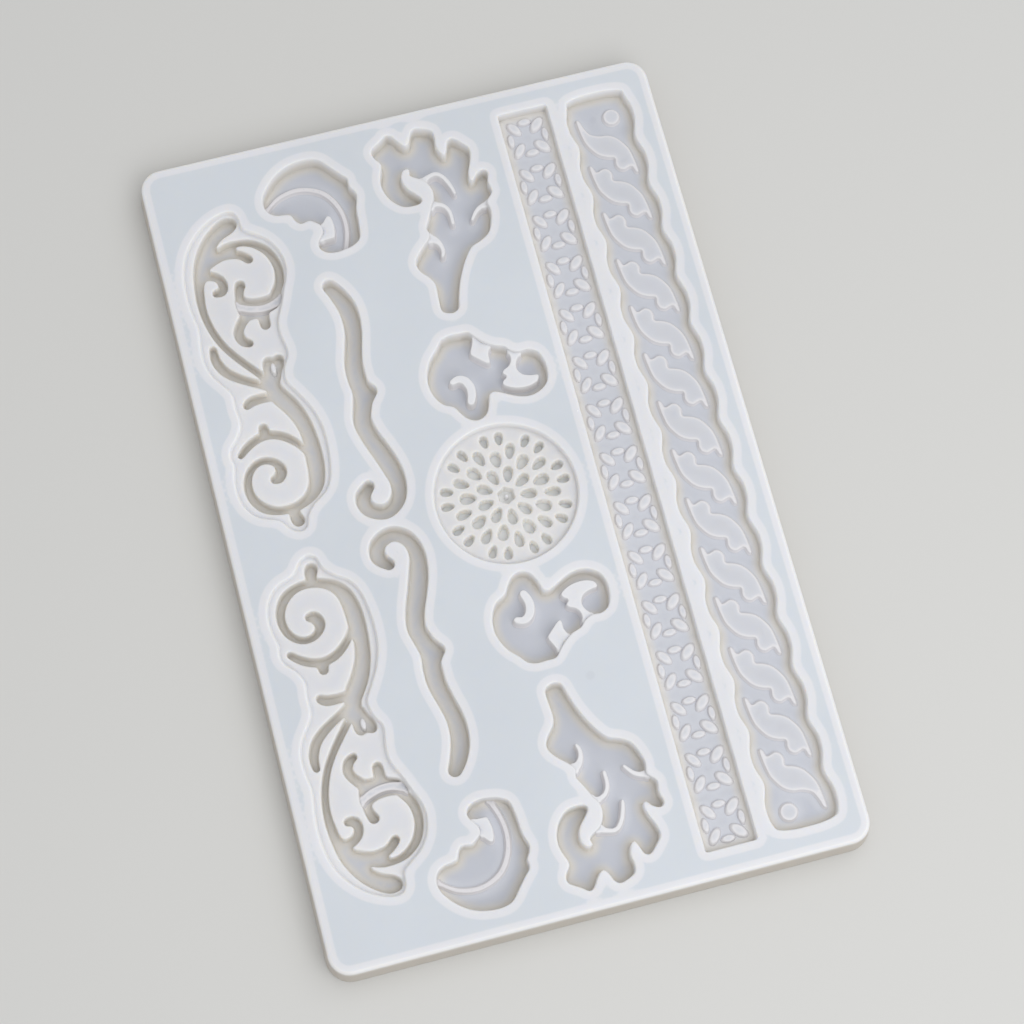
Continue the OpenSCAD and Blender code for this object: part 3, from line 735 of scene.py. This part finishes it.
# %% Fine grain and dust
grain, given, result = group("rubber_grain", [("Place", "NodeSocketVector", (0, 0, 0))],
                             [("Height", FLOAT), ("Clouds", FLOAT), ("Specks", FLOAT)])
place_in = given.outputs["Place"]
fine = put(grain, "ShaderNodeTexNoise", {"Vector": place_in, "Scale": 2600.0, "Detail": 2.0})
soft = put(grain, "ShaderNodeTexNoise", {"Vector": place_in, "Scale": 90.0, "Detail": 1.0})
clouds = put(grain, "ShaderNodeTexNoise", {"Vector": place_in, "Scale": 22.0, "Detail": 2.0})
sum_of = put(grain, "ShaderNodeMath", {0: fine.outputs[0], 1: 0.12, 2: soft.outputs[0]},
             operation="MULTIPLY_ADD")
cell = put(grain, "ShaderNodeTexVoronoi", {"Vector": place_in, "Scale": 110.0})
dot = ramp(grain, cell.outputs["Distance"], 0.012, 0.022, 1.0, 0.0)
pick = put(grain, "ShaderNodeSeparateColor", {0: cell.outputs["Color"]})
rare = ramp(grain, pick.outputs[0], 0.93, 0.935)
specks = put(grain, "ShaderNodeMath", {0: dot, 1: rare}, operation="MULTIPLY")
grain.links.new(sum_of.outputs[0], result.inputs["Height"])
grain.links.new(clouds.outputs[0], result.inputs["Clouds"])
grain.links.new(specks.outputs[0], result.inputs["Specks"])


# %% Painted shade of two small dimples
dimple_shade_group, given, result = group("painted_dimple_shade", [("Place", "NodeSocketVector", (0, 0, 0))],
                             [("Shade", FLOAT)])
shade = 1.0
# The dimples are not in the geometry; each one's shade is painted as a soft, slightly darker round
# spot.
for centre, radius, darker in (((0.0115, -0.052, 0.009), 0.0012, 0.045),
                               ((0.0530, 0.0970, 0.005), 0.0010, 0.03)):
    reach = put(dimple_shade_group, "ShaderNodeVectorMath", {0: given.outputs["Place"], 1: centre},
                operation="DISTANCE").outputs["Value"]
    spot = ramp(dimple_shade_group, reach, 0.6 * radius, 1.3 * radius, 1.0 - darker, 1.0)
    shade = put(dimple_shade_group, "ShaderNodeMath", {0: spot, 1: shade}, operation="MULTIPLY").outputs[0]
dimple_shade_group.links.new(shade, result.inputs["Shade"])


# %% The two finishes
def rubber(name, glow_by, glow_from, glow_to, **colours):
    """Satin milky silicone: the tint with its painted light and shade, the painted shade
    of two dimples, a few specks of dust, a fine grain in the surface, and light let
    through under it. That light is held back where two pieces meet, since it can't
    cross from one to the other: it grows from nothing to full while the named
    attribute goes from glow_from to glow_to."""
    material = bpy.data.materials.new(name)
    material.use_nodes = True
    tree = material.node_tree
    shader = tree.nodes["Principled BSDF"]
    spot = put(tree, "ShaderNodeTexCoord")
    near = put(tree, "ShaderNodeAttribute", attribute_name="near")
    deep = put(tree, "ShaderNodeAttribute", attribute_name="deep")
    cup = put(tree, "ShaderNodeAttribute", attribute_name="cup")
    side = put(tree, "ShaderNodeAttribute", attribute_name="side")
    texture = put(tree, "ShaderNodeGroup", node_tree=grain)
    tree.links.new(spot.outputs["Object"], texture.inputs["Place"])
    colour = put(tree, "ShaderNodeGroup", node_tree=tint)
    tree.links.new(near.outputs["Fac"], colour.inputs["Near"])
    tree.links.new(deep.outputs["Fac"], colour.inputs["Deep"])
    tree.links.new(cup.outputs["Fac"], colour.inputs["Cup"])
    tree.links.new(side.outputs["Fac"], colour.inputs["Side"])
    tree.links.new(texture.outputs["Clouds"], colour.inputs["Clouds"])
    for label, value in colours.items():
        colour.inputs[label].default_value = value
    dusted = blend_of(tree, texture.outputs["Specks"], colour.outputs["Color"],
                      linear(250, 250, 248))
    dimple_node = put(tree, "ShaderNodeGroup", {"Place": spot.outputs["Object"]}, node_tree=dimple_shade_group)
    dimple_shaded = put(tree, "ShaderNodeVectorMath", {0: dusted}, operation="SCALE")
    tree.links.new(dimple_node.outputs["Shade"], dimple_shaded.inputs[3])
    tree.links.new(dimple_shaded.outputs[0], shader.inputs["Base Color"])
    bump = put(tree, "ShaderNodeBump", {"Strength": 0.25, "Distance": 0.00012,
                                        "Height": texture.outputs["Height"]})
    tree.links.new(bump.outputs[0], shader.inputs["Normal"])
    rough = ramp(tree, texture.outputs["Clouds"], 0.2, 0.8, 0.44, 0.54)
    tree.links.new(rough, shader.inputs["Roughness"])
    shader.inputs["Specular IOR Level"].default_value = 0.35
    meet = put(tree, "ShaderNodeAttribute", attribute_name=glow_by)
    glow = ramp(tree, meet.outputs["Fac"], glow_from, glow_to)
    shader.inputs["Subsurface Weight"].default_value = 1.0
    tree.links.new(glow, shader.inputs["Subsurface Weight"])
    shader.inputs["Subsurface Radius"].default_value = (1.0, 0.92, 0.8)
    shader.inputs["Subsurface Scale"].default_value = 0.0022
    return material


slab_rubber = rubber("slab_rubber", "apart", 0.6, 2.6)
# The raised pieces use a floor grey close to the slab's and a lighter Corner tone along their free
# edges: a painted light edge.
detail_rubber = rubber("detail_rubber", "apart", 0.2, 2.0, Floor=linear(205, 207, 214),
                       Corner=linear(224, 222, 225), Reach=0.9)
slab.data.materials.append(slab_rubber)
for piece in details.values():
    piece.data.materials.append(detail_rubber)
print("materials:", [m.name for m in bpy.data.materials])

# %% [markdown]
# ## Floor and light
# A plain pale floor under an even white sky, with two large soft lamps. The larger one
# hangs over the right-hand side. The smaller one stands beyond the near end and makes
# that end of the slab slightly brighter than the far one.

# %% Stage
floor_mesh = bpy.data.meshes.new("table")
span = 6.0
floor_corners = [(-span, -span, 0), (span, -span, 0), (span, span, 0), (-span, span, 0)]
floor_mesh.from_pydata(floor_corners, [], [(0, 1, 2, 3)])
table = bpy.data.objects.new("table", floor_mesh)
bpy.context.scene.collection.objects.link(table)
paper = bpy.data.materials.new("paper")
paper.use_nodes = True
paper_inputs = paper.node_tree.nodes["Principled BSDF"].inputs
paper_inputs["Base Color"].default_value = linear(214, 214, 212)
paper_inputs["Roughness"].default_value = 0.8
floor_mesh.materials.append(paper)


def lamp(name, at, aim, size, power):
    """A square soft lamp that faces a point."""
    data = bpy.data.lights.new(name, "AREA")
    data.size, data.energy = size, power
    lamp_object = bpy.data.objects.new(name, data)
    lamp_object.matrix_world = look(Vector(at), Vector(aim), 0.0)
    bpy.context.scene.collection.objects.link(lamp_object)
    return lamp_object


lamp("main", (0.3, 0.02, 0.85), (0.03, -0.03, 0), 1.1, 2.9)
lamp("near end", (0.14, -0.42, 0.6), (0.0, -0.08, 0), 0.5, 1.45)
world = bpy.data.worlds.new("room")
world.use_nodes = True
sky = world.node_tree.nodes["Background"].inputs
sky["Color"].default_value = (1.0, 1.0, 1.0, 1.0)
sky["Strength"].default_value = 0.54
bpy.context.scene.world = world
bpy.context.scene.view_settings.view_transform = "Standard"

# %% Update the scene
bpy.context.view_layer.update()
